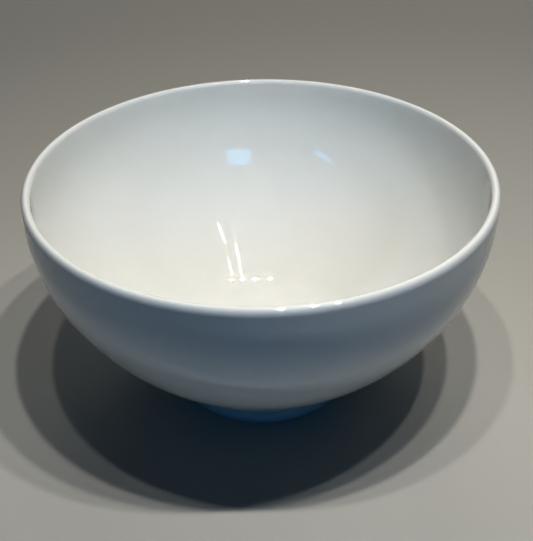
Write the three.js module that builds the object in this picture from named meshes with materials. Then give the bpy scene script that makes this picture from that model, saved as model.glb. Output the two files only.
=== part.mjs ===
// A round porcelain serving bowl on a foot ring, as it is made: a formed biscuit body, a foot ring
// luted on with slip, and the coats of glaze that cover them. Every piece is a body of revolution.
// Millimetres, +Z up, origin at the centre of the foot ring's contact face.
import * as THREE from "three";

// Overall size, over the glaze.
const RIM_RADIUS = 140;
const BOWL_HEIGHT = 148;
const FOOT_RADIUS = 58;

// Coats and joint.
const GLAZE = 0.4;
const SLIP = 0.6;
const POOLED_GLAZE = 0.9; // where the glaze gathers in the corners beside the foot
const POOL_REACH = 1.4; // how far the gathered glaze runs out of the outer corner

// The biscuit lip: two quarter ellipses that meet at its crest, the outer one taller.
const LIP_OUTER = { width: 2.6, height: 3.8 };
const LIP_INNER = { width: 2.0, height: 2.6 };

// The biscuit wall, from the lip down: an upright stretch, arcs that bend it in by their turn in
// degrees, and a straight slope. The inside turns further, so the wall thickens towards the foot.
const OUTSIDE_UPRIGHT = 7.6;
const OUTSIDE_ARCS = [
  { radius: 104.6, turn: 25.2 },
  { radius: 147.6, turn: 16.3 },
  { radius: 260.6, turn: 5.7 },
];
const INSIDE_UPRIGHT = 8.8;
const INSIDE_ARCS = [
  { radius: 100, turn: 25.2 },
  { radius: 143, turn: 16.3 },
  { radius: 256, turn: 8.2 },
];
const INSIDE_HEEL = { radius: 56, turn: 35.6 }; // rounds the slope into the floor
const FLOOR_DISH_RADIUS = 470; // the shallow dish of the floor, level at the axis

// The underside and the foot ring.
const UNDERSIDE_HEIGHT = 7.1; // of the biscuit, at the axis
const UNDERSIDE_SAG = 0.5; // how much lower the underside is beside the foot ring
const SEAT_INNER_RADIUS = 49.8;
const CONTACT_INNER_RADIUS = 52.4;
const FOOT_EDGE_WIDTH = 0.6;
const FOOT_EDGE_HEIGHT = 0.8;
const GLAZE_LINE = 1.5; // the foot is bare below this height
const GLAZE_TAPER = 0.7; // the glaze thins to nothing over this height

// Facets.
const SEGMENTS = 64;
const DEGREES_PER_STEP = 7.5;
const LIP_STEPS = 3;
const FLOOR_STEPS = 2;
const UNDERSIDE_STEPS = 2;

const BISCUIT_RIM_RADIUS = RIM_RADIUS - GLAZE;
const BISCUIT_HEIGHT = BOWL_HEIGHT - GLAZE;
const BISCUIT_FOOT_RADIUS = FOOT_RADIUS - GLAZE;

const { degToRad, radToDeg } = THREE.MathUtils;
const point = (radius, height) => new THREE.Vector2(radius, height);

// Directions in the section where a profile runs down and in, at an angle below level.
const along = (slope) => point(-Math.cos(slope), -Math.sin(slope));
const towardsCentre = (slope) => point(-Math.sin(slope), Math.cos(slope));

// Carries a profile on by an arc that bends it towards level, and returns its new slope.
function addArc(profile, slope, { radius, turn }, steps = Math.ceil(turn / DEGREES_PER_STEP)) {
  const centre = profile.at(-1).clone().addScaledVector(towardsCentre(slope), radius);
  for (let i = 1; i <= steps; i++) {
    const turned = slope - (degToRad(turn) * i) / steps;
    profile.push(centre.clone().addScaledVector(towardsCentre(turned), -radius));
  }
  return slope - degToRad(turn);
}

// Carries a profile straight on until it reaches a radius.
function addSlope(profile, slope, radius) {
  const here = profile.at(-1);
  const length = (here.x - radius) / Math.cos(slope);
  profile.push(here.clone().addScaledVector(along(slope), length));
}

// A wall from its top point down: upright, then its arcs. Returns the profile and its last slope.
function wallFrom(top, upright, arcs) {
  const profile = [top, point(top.x, top.y - upright)];
  let slope = Math.PI / 2;
  for (const arc of arcs) slope = addArc(profile, slope, arc);
  return { profile, slope };
}

// The lip, from its outermost point over the crest to its innermost point.
function lipProfile() {
  const crest = point(BISCUIT_RIM_RADIUS - LIP_OUTER.width, BISCUIT_HEIGHT);
  const profile = [];
  for (let i = 0; i <= 2 * LIP_STEPS; i++) {
    const { width, height } = i <= LIP_STEPS ? LIP_OUTER : LIP_INNER;
    const angle = (Math.PI * i) / (2 * LIP_STEPS);
    const drop = height * (1 - Math.sin(angle));
    profile.push(point(crest.x + width * Math.cos(angle), crest.y - drop));
  }
  return profile;
}

// The outside of the wall, from the lip down to the foot ring's seat.
function outsideProfile(top) {
  const { profile, slope } = wallFrom(top, OUTSIDE_UPRIGHT, OUTSIDE_ARCS);
  addSlope(profile, slope, BISCUIT_FOOT_RADIUS);
  return profile;
}

// The inside, from the lip down the wall, round the heel and over the floor to the axis.
function insideProfile(top) {
  const { profile, slope } = wallFrom(top, INSIDE_UPRIGHT, INSIDE_ARCS);
  const floorSlope = slope - degToRad(INSIDE_HEEL.turn);
  const floorRadius = FLOOR_DISH_RADIUS * Math.sin(floorSlope);
  const heelWidth = INSIDE_HEEL.radius * (Math.sin(slope) - Math.sin(floorSlope));
  addSlope(profile, slope, floorRadius + heelWidth);
  addArc(profile, slope, INSIDE_HEEL);
  addArc(profile, floorSlope, { radius: FLOOR_DISH_RADIUS, turn: radToDeg(floorSlope) }, FLOOR_STEPS);
  profile.at(-1).x = 0;
  return profile;
}

// The underside, from the axis out to the inner edge of the foot ring's seat.
function undersideProfile() {
  const profile = [];
  for (let i = 0; i <= UNDERSIDE_STEPS; i++) {
    const share = i / UNDERSIDE_STEPS;
    const height = UNDERSIDE_HEIGHT - UNDERSIDE_SAG * share ** 2;
    profile.push(point(SEAT_INNER_RADIUS * share, height));
  }
  return profile;
}

// The surface of a coat on a profile: each point moved out, to the right of the way the profile runs.
function coated(profile) {
  return profile.map((here, i) => {
    const before = profile[i - 1] ?? here;
    const after = profile[i + 1] ?? here;
    const arriving = here.clone().sub(before).normalize();
    const leaving = after.clone().sub(here).normalize();
    const middle = arriving.clone().add(leaving).normalize();
    const cornering = Math.max(middle.dot(arriving), middle.dot(leaving));
    return here.clone().addScaledVector(point(middle.y, -middle.x), GLAZE / cornering);
  });
}

// Splits each four-sided facet of a lathe along its other diagonal.
function splitOtherWay({ index }) {
  for (let i = 0; i < index.count; i += 6) {
    index.setX(i + 2, index.getX(i + 3));
    index.setX(i + 5, index.getX(i));
  }
}

// A body of revolution about +Z. Its profile runs anticlockwise round the section, and either starts
// and ends on the axis or is closed here. A coat runs the other way along the surface that it covers,
// so its facets are split the other way, which makes them coincide with the covered ones.
function turnedPiece(name, profile, material, isCoat = false) {
  const onAxis = profile[0].x === 0 && profile.at(-1).x === 0;
  const section = onAxis ? profile : [...profile, profile[0]];
  const geometry = new THREE.LatheGeometry(section, SEGMENTS);
  if (isCoat) splitOtherWay(geometry);
  geometry.rotateX(Math.PI / 2);
  const mesh = new THREE.Mesh(geometry, material);
  mesh.name = name;
  return mesh;
}

function biscuit() {
  return new THREE.MeshStandardMaterial({ color: 0xe4e0d8, roughness: 0.7, metalness: 0 });
}

function slip() {
  return new THREE.MeshStandardMaterial({ color: 0xdcd7cc, roughness: 0.8, metalness: 0 });
}

function glaze() {
  return new THREE.MeshStandardMaterial({ color: 0xeeeeea, roughness: 0.08, metalness: 0 });
}

// The biscuit surfaces that neighbouring pieces share. Sharing the points makes their facets coincide.
const lip = lipProfile();
const outsideDown = outsideProfile(lip[0]);
const outsideUp = outsideDown.toReversed();
const inside = insideProfile(lip.at(-1));
const underside = undersideProfile();
const seatOuter = outsideUp[0];
const seatInner = underside.at(-1);
const ringTopOuter = point(seatOuter.x, seatOuter.y - SLIP);
const ringTopInner = point(seatInner.x, seatInner.y - SLIP);

// The foot ring's contact face, its eased edges, and where the glaze on its sides stops.
const contactInner = point(CONTACT_INNER_RADIUS, 0);
const contactOuter = point(BISCUIT_FOOT_RADIUS - FOOT_EDGE_WIDTH, 0);
const edgeOuter = point(BISCUIT_FOOT_RADIUS, FOOT_EDGE_HEIGHT);
const edgeInner = point(CONTACT_INNER_RADIUS - FOOT_EDGE_WIDTH, FOOT_EDGE_HEIGHT);
const glazeEndOuter = point(BISCUIT_FOOT_RADIUS, GLAZE_LINE);
const innerSideShare = (GLAZE_LINE - edgeInner.y) / (ringTopInner.y - edgeInner.y);
const glazeEndInner = edgeInner.clone().lerp(ringTopInner, innerSideShare);

function bowlBody() {
  const profile = [...underside, ...outsideUp, ...lip.slice(1), ...inside.slice(1)];
  return turnedPiece("bowl_body", profile, biscuit());
}

function slipJoint() {
  const profile = [ringTopInner, ringTopOuter, seatOuter, seatInner];
  return turnedPiece("slip_joint", profile, slip(), true);
}

function footRing() {
  const outerSide = [contactOuter, edgeOuter, glazeEndOuter, ringTopOuter];
  const innerSide = [ringTopInner, glazeEndInner, edgeInner, contactInner];
  return turnedPiece("foot_ring", [...outerSide, ...innerSide], biscuit());
}

// Poured: it covers the floor, the wall and the lip as far as its outermost point.
function innerGlaze() {
  const covered = [...lip, ...inside.slice(1)];
  const surface = coated(covered);
  surface[0].set(RIM_RADIUS, lip[0].y);
  surface[LIP_STEPS].y = BOWL_HEIGHT;
  surface.at(-1).x = 0;
  return turnedPiece("inner_glaze", [...covered.toReversed(), ...surface], glaze(), true);
}

// Dipped: it covers the wall below the lip and the outer side of the foot, and gathers in their corner.
function outerGlaze() {
  const covered = [glazeEndOuter, ringTopOuter, ...outsideUp];
  const slope = outsideUp[1].clone().sub(seatOuter).normalize();
  const poolEnd = seatOuter.clone().addScaledVector(slope, POOL_REACH);
  const surface = [
    point(FOOT_RADIUS, GLAZE_LINE + GLAZE_TAPER),
    point(FOOT_RADIUS, seatOuter.y - POOL_REACH),
    point(seatOuter.x + POOLED_GLAZE, seatOuter.y - GLAZE),
    ...coated([poolEnd, ...outsideUp.slice(1)]),
  ];
  surface.at(-1).set(RIM_RADIUS, lip[0].y);
  return turnedPiece("outer_glaze", [...surface, ...covered.toReversed()], glaze(), true);
}

// Dipped: it covers the underside and the inner side of the foot, and gathers in their corner.
function baseGlaze() {
  const covered = [...underside, ringTopInner, glazeEndInner];
  const surface = [
    ...coated(underside).slice(0, -1),
    point(seatInner.x - POOLED_GLAZE, seatInner.y - POOLED_GLAZE),
    point(glazeEndInner.x - GLAZE, GLAZE_LINE + GLAZE_TAPER),
  ];
  surface[0].x = 0;
  return turnedPiece("base_glaze", [...surface, ...covered.toReversed()], glaze(), true);
}

const bowl = new THREE.Group();
bowl.add(bowlBody(), slipJoint(), footRing());
bowl.add(innerGlaze(), outerGlaze(), baseGlaze());

export default bowl;
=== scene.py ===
"""A round white porcelain serving bowl on a foot ring, glazed inside, outside and underneath.

Metres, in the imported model's frame: +Z up, origin at the centre of the foot's contact face.
Each piece is turned about Z from the section of the CAD node that it replaces, with finer steps.
"""
import math

import bmesh
import bpy
from mathutils import Matrix, Vector, noise


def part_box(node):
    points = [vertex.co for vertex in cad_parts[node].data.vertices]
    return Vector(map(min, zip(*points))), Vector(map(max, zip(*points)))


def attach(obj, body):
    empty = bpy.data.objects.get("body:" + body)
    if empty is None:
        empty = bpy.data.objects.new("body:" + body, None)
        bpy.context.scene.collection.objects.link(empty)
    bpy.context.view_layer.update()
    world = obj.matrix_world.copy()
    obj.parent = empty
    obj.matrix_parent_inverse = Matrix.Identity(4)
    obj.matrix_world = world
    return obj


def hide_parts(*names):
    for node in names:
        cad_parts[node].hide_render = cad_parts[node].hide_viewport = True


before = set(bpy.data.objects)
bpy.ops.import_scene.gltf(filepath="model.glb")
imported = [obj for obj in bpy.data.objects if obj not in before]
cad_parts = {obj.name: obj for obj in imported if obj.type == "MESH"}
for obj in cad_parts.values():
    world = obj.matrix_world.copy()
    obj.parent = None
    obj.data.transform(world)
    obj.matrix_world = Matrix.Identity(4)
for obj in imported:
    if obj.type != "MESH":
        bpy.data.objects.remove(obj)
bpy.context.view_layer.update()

MM = 0.001
BODY = "root"

# Overall sizes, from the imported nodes.
RIM_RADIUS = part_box("inner_glaze")[1].x
BOWL_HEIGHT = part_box("inner_glaze")[1].z
BISCUIT_RIM_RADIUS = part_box("bowl_body")[1].x
BISCUIT_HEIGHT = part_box("bowl_body")[1].z
GLAZE = RIM_RADIUS - BISCUIT_RIM_RADIUS
BISCUIT_FOOT_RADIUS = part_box("foot_ring")[1].x
FOOT_RADIUS = BISCUIT_FOOT_RADIUS + GLAZE
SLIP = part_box("slip_joint")[1].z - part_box("foot_ring")[1].z
GLAZE_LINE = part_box("outer_glaze")[0].z

# The section of the biscuit, as in the CAD. A wall is upright and then bends in by arcs of
# (radius, turn in degrees) down to a straight slope.
LIP_OUTER = (2.6 * MM, 3.8 * MM)
LIP_INNER = (2.0 * MM, 2.6 * MM)
OUTSIDE_UPRIGHT = 7.6 * MM
OUTSIDE_ARCS = [(104.6 * MM, 25.2), (147.6 * MM, 16.3), (260.6 * MM, 5.7)]
INSIDE_UPRIGHT = 8.8 * MM
INSIDE_ARCS = [(100.0 * MM, 25.2), (143.0 * MM, 16.3), (256.0 * MM, 8.2)]
HEEL_RADIUS = 56.0 * MM
HEEL_TURN = 35.6
FLOOR_DISH_RADIUS = 470.0 * MM
UNDERSIDE_HEIGHT = 7.1 * MM
UNDERSIDE_SAG = 0.5 * MM
SEAT_INNER_RADIUS = 49.8 * MM
CONTACT_INNER_RADIUS = 52.4 * MM
FOOT_EDGE_WIDTH = 0.6 * MM
FOOT_EDGE_HEIGHT = 0.8 * MM
GLAZE_TAPER = 0.7 * MM
POOLED_GLAZE = 0.9 * MM
POOL_REACH = 1.4 * MM

# Steps of the turned meshes.
SEGMENTS = 256
ARC_STEP = 1.2
STRAIGHT_STEP = 3.0 * MM
LIP_STEPS = 12
ROUND_STEPS = 6
SHARP_ANGLE = 35.0

# The slight unevenness of a formed and hand-dipped surface, always into the coat.
RING_DEPTH = 0.02 * MM
RING_LENGTHS = (23.0 * MM, 13.7 * MM)
SWELL_DEPTH = 0.07 * MM
SWELL_LENGTH = 34.0 * MM
WAVE_FADE = 9.0 * MM

# Camera and floor.
CAMERA_PLACE = (0.0, -0.50578, 0.4187)
CAMERA_PITCH = 34.07
CAMERA_YAW = 0.31
CAMERA_ROLL = -0.755
CAMERA_LENS = 64.06
SENSOR = 36.0
FLOOR_HALF = 6.0
FLOOR_FRONT = -0.39
FLOOR_COLOUR = (0.55, 0.535, 0.50)
FLOOR_GLOW_COLOUR = (0.50, 0.49, 0.46)
FLOOR_GLOW_START = 0.6
FLOOR_GLOW_FULL = 2.4
VIEW_GAMMA = 0.62

# A row of small lamps over the counter: name, x, y, watts.
LAMP_HEIGHT = 1.19
LAMP_WIDTH = 0.036
LAMP_COLOUR = (1.0, 0.98, 0.95)
LAMPS = [
    ("lamp_1", -0.096, -0.217, 2.2),
    ("lamp_2", 0.084, -0.217, 4.3),
    ("lamp_3", 0.250, -0.215, 3.6),
    ("lamp_4", 0.395, -0.212, 2.9),
]

# Long narrow lamps in front of the row, which only show in the glaze: name, near end, far end, watts.
STREAK_WIDTH = 0.036
STREAKS = [
    ("streak_1", (0.254, -0.245), (0.288, -0.370), 0.13),
    ("streak_2", (0.292, -0.380), (0.332, -0.520), 0.13),
    ("streak_3", (0.336, -0.530), (0.362, -0.640), 0.02),
    ("streak_4", (0.450, -0.465), (0.560, -0.605), 0.15),
    ("streak_5", (0.420, -0.330), (0.436, -0.390), 0.03),
]

# Windows in front, seen in the glaze: name, place, (width, height), lean in degrees, watts.
WINDOW_COLOUR = (0.03, 0.50, 1.0)
WINDOWS = [
    ("window_1", (0.59, -2.5, 1.195), (0.68, 0.53), 0.0, 4.5),
    ("window_2", (-1.93, -2.5, 1.195), (0.22, 0.86), -56.9, 2.4),
]

# Soft fills that don't show in the glaze: name, azimuth, elevation, watts, colour.
FILL_DISTANCE = 2.5
FILL_SIZE = (1.3, 1.1)
FILLS = [
    ("fill_back", 180.0, 38.0, 12.0, (1.0, 0.98, 0.92)),
    ("fill_right", 135.0, 38.0, 3.3, (1.0, 0.98, 0.94)),
    ("fill_left", 225.0, 38.0, 1.7, (1.0, 0.94, 0.88)),
    ("fill_side", 270.0, 38.0, 1.0, (0.60, 0.85, 1.0)),
    ("fill_front", 0.0, 20.0, 4.8, (0.01, 0.40, 1.0)),
]
WORLD_COLOUR = (1.0, 0.98, 0.95)
WORLD_STRENGTH = 0.012
BACKDROP_STRENGTH = 0.5


# ---- sections -----------------------------------------------------------------------------

def along(slope):
    """The way a section runs down and in, at an angle below level."""
    return Vector((-math.cos(slope), -math.sin(slope)))


def towards_centre(slope):
    return Vector((-math.sin(slope), math.cos(slope)))


def add_arc(section, slope, radius, turn):
    """Carries a section on by an arc that bends it towards level, and returns its new slope."""
    centre = section[-1] + towards_centre(slope) * radius
    steps = math.ceil(turn / ARC_STEP)
    for i in range(1, steps + 1):
        turned = slope - math.radians(turn) * i / steps
        section.append(centre - towards_centre(turned) * radius)
    return slope - math.radians(turn)


def add_line(section, end):
    """Carries a section straight on to a point."""
    start = section[-1]
    steps = max(1, round((end - start).length / STRAIGHT_STEP))
    section.extend(start.lerp(end, i / steps) for i in range(1, steps + 1))


def add_slope(section, slope, radius):
    here = section[-1]
    add_line(section, here + along(slope) * ((here.x - radius) / math.cos(slope)))


def wall_from(top, upright, arcs):
    section = [top]
    add_line(section, Vector((top.x, top.y - upright)))
    slope = math.pi / 2
    for radius, turn in arcs:
        slope = add_arc(section, slope, radius, turn)
    return section, slope


def lip_section():
    """The biscuit lip, from its outermost point over the crest to its innermost point."""
    crest = Vector((BISCUIT_RIM_RADIUS - LIP_OUTER[0], BISCUIT_HEIGHT))
    section = []
    for i in range(2 * LIP_STEPS + 1):
        width, height = LIP_OUTER if i <= LIP_STEPS else LIP_INNER
        angle = math.pi * i / (2 * LIP_STEPS)
        out = Vector((width * math.cos(angle), -height * (1 - math.sin(angle))))
        section.append(crest + out)
    return section


def outside_section(top):
    section, slope = wall_from(top, OUTSIDE_UPRIGHT, OUTSIDE_ARCS)
    add_slope(section, slope, BISCUIT_FOOT_RADIUS)
    return section


def inside_section(top):
    section, slope = wall_from(top, INSIDE_UPRIGHT, INSIDE_ARCS)
    floor_slope = slope - math.radians(HEEL_TURN)
    floor_radius = FLOOR_DISH_RADIUS * math.sin(floor_slope)
    heel_width = HEEL_RADIUS * (math.sin(slope) - math.sin(floor_slope))
    add_slope(section, slope, floor_radius + heel_width)
    add_arc(section, slope, HEEL_RADIUS, HEEL_TURN)
    add_arc(section, floor_slope, FLOOR_DISH_RADIUS, math.degrees(floor_slope))
    section[-1].x = 0.0
    return section


def underside_section():
    """From the axis out to the inner edge of the foot ring's seat."""
    steps = round(SEAT_INNER_RADIUS / STRAIGHT_STEP)
    shares = [i / steps for i in range(steps + 1)]
    return [Vector((SEAT_INNER_RADIUS * share, UNDERSIDE_HEIGHT - UNDERSIDE_SAG * share ** 2))
            for share in shares]


def outward(section, i):
    """The mitred unit normal at a point, to the right of the way the section runs."""
    here = section[i]
    arriving = (here - section[max(i - 1, 0)]).normalized()
    leaving = (section[min(i + 1, len(section) - 1)] - here).normalized()
    middle = (arriving + leaving).normalized()
    return Vector((middle.y, -middle.x))


def coated(section):
    return [here + outward(section, i) * GLAZE for i, here in enumerate(section)]


def rounded(corner, before, after, reach):
    """A corner of a section eased into a curve that starts and ends a reach away."""
    start = corner + (before - corner).normalized() * reach
    end = corner + (after - corner).normalized() * reach
    shares = [i / ROUND_STEPS for i in range(ROUND_STEPS + 1)]
    return [start.lerp(corner, s).lerp(corner.lerp(end, s), s) for s in shares]


# ---- turned meshes ------------------------------------------------------------------------

def wave(place, travelled):
    """How far a formed surface lies inside its true one, in metres, from 0 up."""
    rings = sum(0.5 + 0.5 * math.sin(math.tau * travelled / length) for length in RING_LENGTHS)
    swell = 0.5 + 0.5 * noise.noise(place / SWELL_LENGTH)
    return RING_DEPTH * rings / len(RING_LENGTHS) + SWELL_DEPTH * swell


def travelled_along(section):
    """The distance from the start of a section to each of its points."""
    distances = [0.0]
    for before, here in zip(section, section[1:]):
        distances.append(distances[-1] + (here - before).length)
    return distances


def wave_share(section, i, distances):
    """The wave fades out by both ends of a section, unless that end is on the axis."""
    from_start = distances[i] if section[0].x > 0 else WAVE_FADE
    from_end = distances[-1] - distances[i] if section[-1].x > 0 else WAVE_FADE
    share = min(1.0, from_start / WAVE_FADE, from_end / WAVE_FADE)
    return share * share * (3 - 2 * share)


def ring_places(section, i, distances, waved):
    """The points of one ring of a turned surface. A point on the axis gives just one."""
    here = section[i]
    if here.x < 1e-7:
        return [Vector((0.0, 0.0, here.y))]
    inward = -outward(section, i)
    share = wave_share(section, i, distances) if waved else 0.0
    places = []
    for k in range(SEGMENTS):
        angle = math.tau * k / SEGMENTS
        turn = Vector((math.cos(angle), math.sin(angle)))
        place = Vector((here.x * turn.x, here.x * turn.y, here.y))
        if share:
            depth = share * wave(place, distances[i])
            radius = here.x + inward.x * depth
            place = Vector((radius * turn.x, radius * turn.y, here.y + inward.y * depth))
        places.append(place)
    return places


def bridge(mesh, one, two):
    """The faces between two rings, of which either may be a single point on the axis."""
    for k in range(SEGMENTS):
        after = (k + 1) % SEGMENTS
        if len(one) == 1:
            mesh.faces.new((one[0], two[after], two[k]))
        elif len(two) == 1:
            mesh.faces.new((one[k], one[after], two[0]))
        else:
            mesh.faces.new((one[k], one[after], two[after], two[k]))


def turned_piece(name, surface, covered, material, node, waved=False):
    """A closed body turned about Z. The surface shows, and the rest lies against other pieces.

    The two together run anticlockwise round the section.
    """
    mesh = bmesh.new()
    surface_way = travelled_along(surface)
    rings = [ring_places(surface, i, surface_way, waved) for i in range(len(surface))]
    covered_way = travelled_along(covered)
    rings += [ring_places(covered, i, covered_way, False) for i in range(len(covered))]
    rings = [[mesh.verts.new(place) for place in ring] for ring in rings]
    for one, two in zip(rings, rings[1:] + rings[:1]):
        if len(one) > 1 or len(two) > 1:
            bridge(mesh, one, two)
    bmesh.ops.recalc_face_normals(mesh, faces=mesh.faces)
    data = bpy.data.meshes.new(name)
    mesh.to_mesh(data)
    mesh.free()
    data.shade_smooth()
    data.set_sharp_from_angle(angle=math.radians(SHARP_ANGLE))
    data.materials.append(material)
    piece = bpy.data.objects.new(name, data)
    bpy.context.scene.collection.objects.link(piece)
    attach(piece, BODY)
    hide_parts(node)
    return piece


# ---- materials ----------------------------------------------------------------------------

def new_material(name):
    material = bpy.data.materials.new(name)
    material.use_nodes = True
    tree = material.node_tree
    shader = tree.nodes["Principled BSDF"]
    return material, tree, shader


def object_place(tree):
    return tree.nodes.new("ShaderNodeTexCoord").outputs["Object"]


def noise_at(tree, place, scale, detail, roughness=0.5):
    node = tree.nodes.new("ShaderNodeTexNoise")
    node.inputs["Scale"].default_value = scale
    node.inputs["Detail"].default_value = detail
    node.inputs["Roughness"].default_value = roughness
    tree.links.new(place, node.inputs["Vector"])
    return node.outputs["Fac"]


def ramp(tree, value, *stops):
    """A colour ramp. Each stop is (position, colour), or (position, grey)."""
    node = tree.nodes.new("ShaderNodeValToRGB")
    elements = node.color_ramp.elements
    while len(elements) < len(stops):
        elements.new(0.5)
    for element, (position, colour) in zip(elements, stops):
        if isinstance(colour, float):
            colour = (colour, colour, colour)
        element.position = position
        element.color = (*colour, 1.0)
    tree.links.new(value, node.inputs["Fac"])
    return node.outputs["Color"]


def ranged(tree, value, low, high):
    """A 0 to 1 value carried to a range."""
    node = tree.nodes.new("ShaderNodeMapRange")
    node.inputs["From Min"].default_value = 0.3
    node.inputs["From Max"].default_value = 0.7
    node.inputs["To Min"].default_value = low
    node.inputs["To Max"].default_value = high
    tree.links.new(value, node.inputs["Value"])
    return node.outputs["Result"]


def mixed(tree, factor, one, two):
    node = tree.nodes.new("ShaderNodeMix")
    node.data_type = "RGBA"
    for socket, value in ((node.inputs["Factor"], factor), (node.inputs[6], one), (node.inputs[7], two)):
        if hasattr(value, "is_output"):
            tree.links.new(value, socket)
        else:
            socket.default_value = (*value, 1.0)
    return node.outputs[2]


def bumped(tree, height, distance, under=None):
    node = tree.nodes.new("ShaderNodeBump")
    node.inputs["Strength"].default_value = 1.0
    node.inputs["Distance"].default_value = distance
    tree.links.new(height, node.inputs["Height"])
    if under:
        tree.links.new(under, node.inputs["Normal"])
    return node.outputs["Normal"]


def white_glaze():
    """Clear glossy glaze on a white body: slight tone drift, soft ripples and orange peel."""
    material, tree, shader = new_material("white_glaze")
    place = object_place(tree)
    tone = ramp(tree, noise_at(tree, place, 14.0, 3.0),
                (0.3, (0.792, 0.796, 0.770)), (0.7, (0.812, 0.812, 0.792)))
    tree.links.new(tone, shader.inputs["Base Color"])
    haze = ranged(tree, noise_at(tree, place, 45.0, 4.0, 0.6), 0.015, 0.045)
    tree.links.new(haze, shader.inputs["Roughness"])
    ripples = bumped(tree, noise_at(tree, place, 95.0, 1.0), 0.000012)
    peel = bumped(tree, noise_at(tree, place, 420.0, 2.0), 0.0000015, ripples)
    tree.links.new(peel, shader.inputs["Normal"])
    shader.inputs["IOR"].default_value = 1.5
    return material


def bare_biscuit():
    """Unglazed porcelain: warm, matt and finely grained, with fine grey specks scattered all over."""
    material, tree, shader = new_material("bare_biscuit")
    place = object_place(tree)
    tone = ramp(tree, noise_at(tree, place, 60.0, 4.0),
                (0.35, (0.74, 0.71, 0.655)), (0.65, (0.80, 0.77, 0.72)))
    specks = ramp(tree, noise_at(tree, place, 1500.0, 2.0), (0.66, 0.0), (0.74, 0.6))
    speckled = mixed(tree, specks, tone, (0.50, 0.46, 0.40))
    tree.links.new(speckled, shader.inputs["Base Color"])
    matt = ranged(tree, noise_at(tree, place, 300.0, 4.0), 0.62, 0.82)
    tree.links.new(matt, shader.inputs["Roughness"])
    grain = bumped(tree, noise_at(tree, place, 2600.0, 3.0), 0.00003)
    tree.links.new(grain, shader.inputs["Normal"])
    return material


def fired_slip():
    """The slip of the joint: the same body, a little greyer and coarser than the biscuit."""
    material, tree, shader = new_material("fired_slip")
    place = object_place(tree)
    tone = ramp(tree, noise_at(tree, place, 180.0, 4.0),
                (0.35, (0.69, 0.66, 0.59)), (0.65, (0.77, 0.74, 0.67)))
    tree.links.new(tone, shader.inputs["Base Color"])
    matt = ranged(tree, noise_at(tree, place, 420.0, 3.0), 0.72, 0.90)
    tree.links.new(matt, shader.inputs["Roughness"])
    grain = bumped(tree, noise_at(tree, place, 1200.0, 4.0), 0.00008)
    tree.links.new(grain, shader.inputs["Normal"])
    return material


def floor_finish():
    """Pale and matt. Far from the bowl, where the lights don't reach, it glows as pale as it is near."""
    material, tree, shader = new_material("floor_finish")
    shader.inputs["Base Color"].default_value = (*FLOOR_COLOUR, 1.0)
    shader.inputs["Roughness"].default_value = 0.7
    shader.inputs["Specular IOR Level"].default_value = 0.2
    shader.inputs["Emission Color"].default_value = (*FLOOR_GLOW_COLOUR, 1.0)
    away = tree.nodes.new("ShaderNodeVectorMath")
    away.operation = "LENGTH"
    tree.links.new(object_place(tree), away.inputs[0])
    glow = tree.nodes.new("ShaderNodeMapRange")
    glow.interpolation_type = "SMOOTHSTEP"
    glow.inputs["From Min"].default_value = FLOOR_GLOW_START
    glow.inputs["From Max"].default_value = FLOOR_GLOW_FULL
    tree.links.new(away.outputs["Value"], glow.inputs["Value"])
    tree.links.new(glow.outputs["Result"], shader.inputs["Emission Strength"])
    return material


# ---- the bowl -----------------------------------------------------------------------------

LIP = lip_section()
OUTSIDE_DOWN = outside_section(LIP[0])
OUTSIDE_UP = OUTSIDE_DOWN[::-1]
INSIDE = inside_section(LIP[-1])
UNDERSIDE = underside_section()
SEAT_OUTER = OUTSIDE_UP[0]
SEAT_INNER = UNDERSIDE[-1]
RING_TOP_OUTER = SEAT_OUTER - Vector((0.0, SLIP))
RING_TOP_INNER = SEAT_INNER - Vector((0.0, SLIP))
EDGE_INNER = Vector((CONTACT_INNER_RADIUS - FOOT_EDGE_WIDTH, FOOT_EDGE_HEIGHT))
EDGE_OUTER = Vector((BISCUIT_FOOT_RADIUS, FOOT_EDGE_HEIGHT))
GLAZE_END_OUTER = Vector((BISCUIT_FOOT_RADIUS, GLAZE_LINE))
GLAZE_END_INNER = EDGE_INNER.lerp(
    RING_TOP_INNER, (GLAZE_LINE - EDGE_INNER.y) / (RING_TOP_INNER.y - EDGE_INNER.y))


def glazed_inside(glaze):
    """Poured over the floor and wall, and over the lip as far as its outermost point."""
    covered = LIP + INSIDE[1:]
    surface = coated(covered)
    surface[0] = Vector((RIM_RADIUS, LIP[0].y))
    surface[LIP_STEPS].y = BOWL_HEIGHT
    surface[-1].x = 0.0
    return turned_piece("glazed_inside", surface, covered[::-1], glaze, "inner_glaze", True)


def glazed_outside(glaze):
    """Dipped over the wall below the lip and the outer side of the foot, pooled in their corner."""
    slope = (OUTSIDE_UP[1] - SEAT_OUTER).normalized()
    pool_end = SEAT_OUTER + slope * POOL_REACH
    corner = Vector((SEAT_OUTER.x + POOLED_GLAZE, SEAT_OUTER.y - GLAZE))
    wall = coated([pool_end] + OUTSIDE_UP[1:])
    wall[-1] = Vector((RIM_RADIUS, LIP[0].y))
    foot_top = Vector((FOOT_RADIUS, SEAT_OUTER.y - POOL_REACH))
    foot = [Vector((FOOT_RADIUS, GLAZE_LINE + GLAZE_TAPER))]
    add_line(foot, foot_top)
    surface = foot + rounded(corner, foot_top, wall[0], POOLED_GLAZE * 0.6) + wall
    covered = [GLAZE_END_OUTER, RING_TOP_OUTER] + OUTSIDE_UP
    return turned_piece("glazed_outside", surface, covered[::-1], glaze, "outer_glaze", True)


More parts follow.
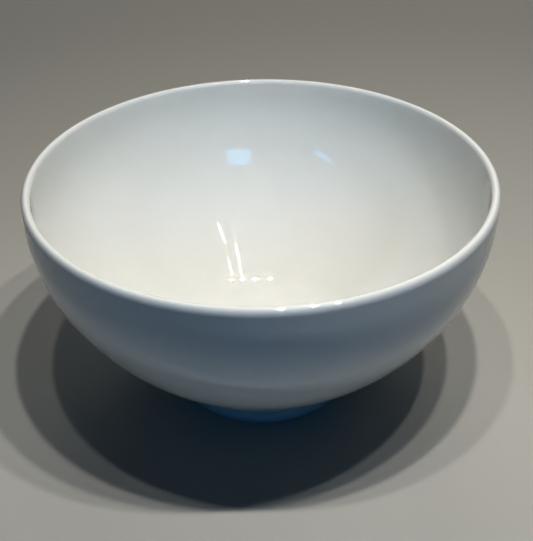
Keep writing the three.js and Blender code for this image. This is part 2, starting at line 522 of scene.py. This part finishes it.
def glazed_base(glaze):
    """Dipped over the underside and the inner side of the foot, pooled in their corner."""
    under = coated(UNDERSIDE)[:-1]
    under[0].x = 0.0
    corner = Vector((SEAT_INNER.x - POOLED_GLAZE, SEAT_INNER.y - POOLED_GLAZE))
    end = Vector((GLAZE_END_INNER.x - GLAZE, GLAZE_LINE + GLAZE_TAPER))
    surface = under + rounded(corner, under[-1], end, POOLED_GLAZE) + [end]
    covered = UNDERSIDE + [RING_TOP_INNER, GLAZE_END_INNER]
    return turned_piece("glazed_base", surface, covered[::-1], glaze, "base_glaze", True)


def biscuit_bowl(biscuit):
    profile = UNDERSIDE + OUTSIDE_UP + LIP[1:] + INSIDE[1:]
    return turned_piece("biscuit_bowl", profile, [], biscuit, "bowl_body")


def biscuit_foot(biscuit):
    contact_inner = Vector((CONTACT_INNER_RADIUS, 0.0))
    contact_outer = Vector((BISCUIT_FOOT_RADIUS - FOOT_EDGE_WIDTH, 0.0))
    outer_edge = rounded_edge(contact_outer, EDGE_OUTER)
    inner_edge = rounded_edge(contact_inner, EDGE_INNER)[::-1]
    outer_side = outer_edge + [GLAZE_END_OUTER, RING_TOP_OUTER]
    inner_side = [RING_TOP_INNER, GLAZE_END_INNER] + inner_edge
    return turned_piece("biscuit_foot", outer_side, inner_side, biscuit, "foot_ring")


def rounded_edge(low, high):
    """The eased edge of the foot: a quarter ellipse from its contact face to its side."""
    width, height = high.x - low.x, high.y - low.y
    angles = [math.pi / 2 * i / ROUND_STEPS for i in range(ROUND_STEPS + 1)]
    return [Vector((low.x + width * math.sin(a), low.y + height * (1 - math.cos(a)))) for a in angles]


def slip_layer(slip):
    surface = [RING_TOP_INNER, RING_TOP_OUTER]
    return turned_piece("slip_layer", surface, [SEAT_OUTER, SEAT_INNER], slip, "slip_joint")


# ---- floor, lights and camera -------------------------------------------------------------

def make_floor():
    """A pale floor. In front of the bowl's own surface it shows, but throws no light back."""
    finish = floor_finish()
    for name, front, back in (("floor", FLOOR_FRONT, FLOOR_HALF), ("floor_front", -FLOOR_HALF, FLOOR_FRONT)):
        data = bpy.data.meshes.new(name)
        corners = [(-FLOOR_HALF, front), (FLOOR_HALF, front), (FLOOR_HALF, back), (-FLOOR_HALF, back)]
        data.from_pydata([(x, y, 0.0) for x, y in corners], [], [(0, 1, 2, 3)])
        data.materials.append(finish)
        floor = bpy.data.objects.new(name, data)
        bpy.context.scene.collection.objects.link(floor)
        if name == "floor_front":
            floor.visible_diffuse = floor.visible_glossy = False


def make_light(name, place, rotation, size, watts, colour):
    data = bpy.data.lights.new(name, "AREA")
    data.shape = "ELLIPSE" if size[0] == size[1] else "RECTANGLE"
    data.size, data.size_y = size
    data.energy = watts
    data.color = colour
    light = bpy.data.objects.new(name, data)
    light.location = place
    light.rotation_euler = rotation
    light.visible_camera = False
    bpy.context.scene.collection.objects.link(light)
    return light


def make_lights():
    facing_down = (0.0, 0.0, 0.0)
    for name, x, y, watts in LAMPS:
        make_light(name, (x, y, LAMP_HEIGHT), facing_down, (LAMP_WIDTH, LAMP_WIDTH), watts, LAMP_COLOUR)
    for name, near_end, far_end, watts in STREAKS:
        start, end = Vector(near_end), Vector(far_end)
        run = start - end
        middle = (start + end) / 2
        turned = (0.0, 0.0, math.atan2(-run.x, run.y))
        place = (middle.x, middle.y, LAMP_HEIGHT)
        streak = make_light(name, place, turned, (STREAK_WIDTH, run.length), watts, LAMP_COLOUR)
        streak.data.shape = "ELLIPSE"
        streak.visible_diffuse = False
    for name, place, size, lean, watts in WINDOWS:
        facing_in = (math.radians(90), math.radians(lean), 0.0)
        make_light(name, place, facing_in, size, watts, WINDOW_COLOUR)
    for name, azimuth, elevation, watts, colour in FILLS:
        around, up = math.radians(azimuth), math.radians(elevation)
        level = FILL_DISTANCE * math.cos(up)
        place = Vector((level * math.sin(around), -level * math.cos(around), FILL_DISTANCE * math.sin(up)))
        facing_in = (-place).to_track_quat("-Z", "Y").to_euler()
        fill = make_light(name, place, facing_in, FILL_SIZE, watts, colour)
        fill.visible_glossy = False


def make_world():
    """A dim room that looks pale where the camera sees past the floor."""
    world = bpy.data.worlds.new("studio")
    world.use_nodes = True
    tree = world.node_tree
    background = tree.nodes["Background"]
    background.inputs["Color"].default_value = (*WORLD_COLOUR, 1.0)
    seen = tree.nodes.new("ShaderNodeLightPath").outputs["Is Camera Ray"]
    strength = tree.nodes.new("ShaderNodeMath")
    strength.operation = "MULTIPLY_ADD"
    strength.inputs[1].default_value = BACKDROP_STRENGTH
    strength.inputs[2].default_value = WORLD_STRENGTH
    tree.links.new(seen, strength.inputs[0])
    tree.links.new(strength.outputs["Value"], background.inputs["Strength"])
    bpy.context.scene.world = world


def make_camera():
    data = bpy.data.cameras.new("camera")
    data.sensor_width = SENSOR
    data.lens = CAMERA_LENS
    camera = bpy.data.objects.new("camera", data)
    turn = Matrix.Rotation(-math.radians(CAMERA_YAW), 4, "Z")
    tilt = Matrix.Rotation(math.radians(90 - CAMERA_PITCH), 4, "X")
    roll = Matrix.Rotation(math.radians(CAMERA_ROLL), 4, "Z")
    camera.matrix_world = Matrix.Translation(CAMERA_PLACE) @ turn @ tilt @ roll
    bpy.context.scene.collection.objects.link(camera)
    bpy.context.scene.camera = camera


def main():
    glaze, biscuit, slip = white_glaze(), bare_biscuit(), fired_slip()
    glazed_inside(glaze)
    glazed_outside(glaze)
    glazed_base(glaze)
    biscuit_bowl(biscuit)
    biscuit_foot(biscuit)
    slip_layer(slip)
    make_floor()
    make_lights()
    make_world()
    make_camera()
    bpy.context.scene.view_settings.view_transform = "Standard"
    bpy.context.scene.view_settings.gamma = VIEW_GAMMA


main()
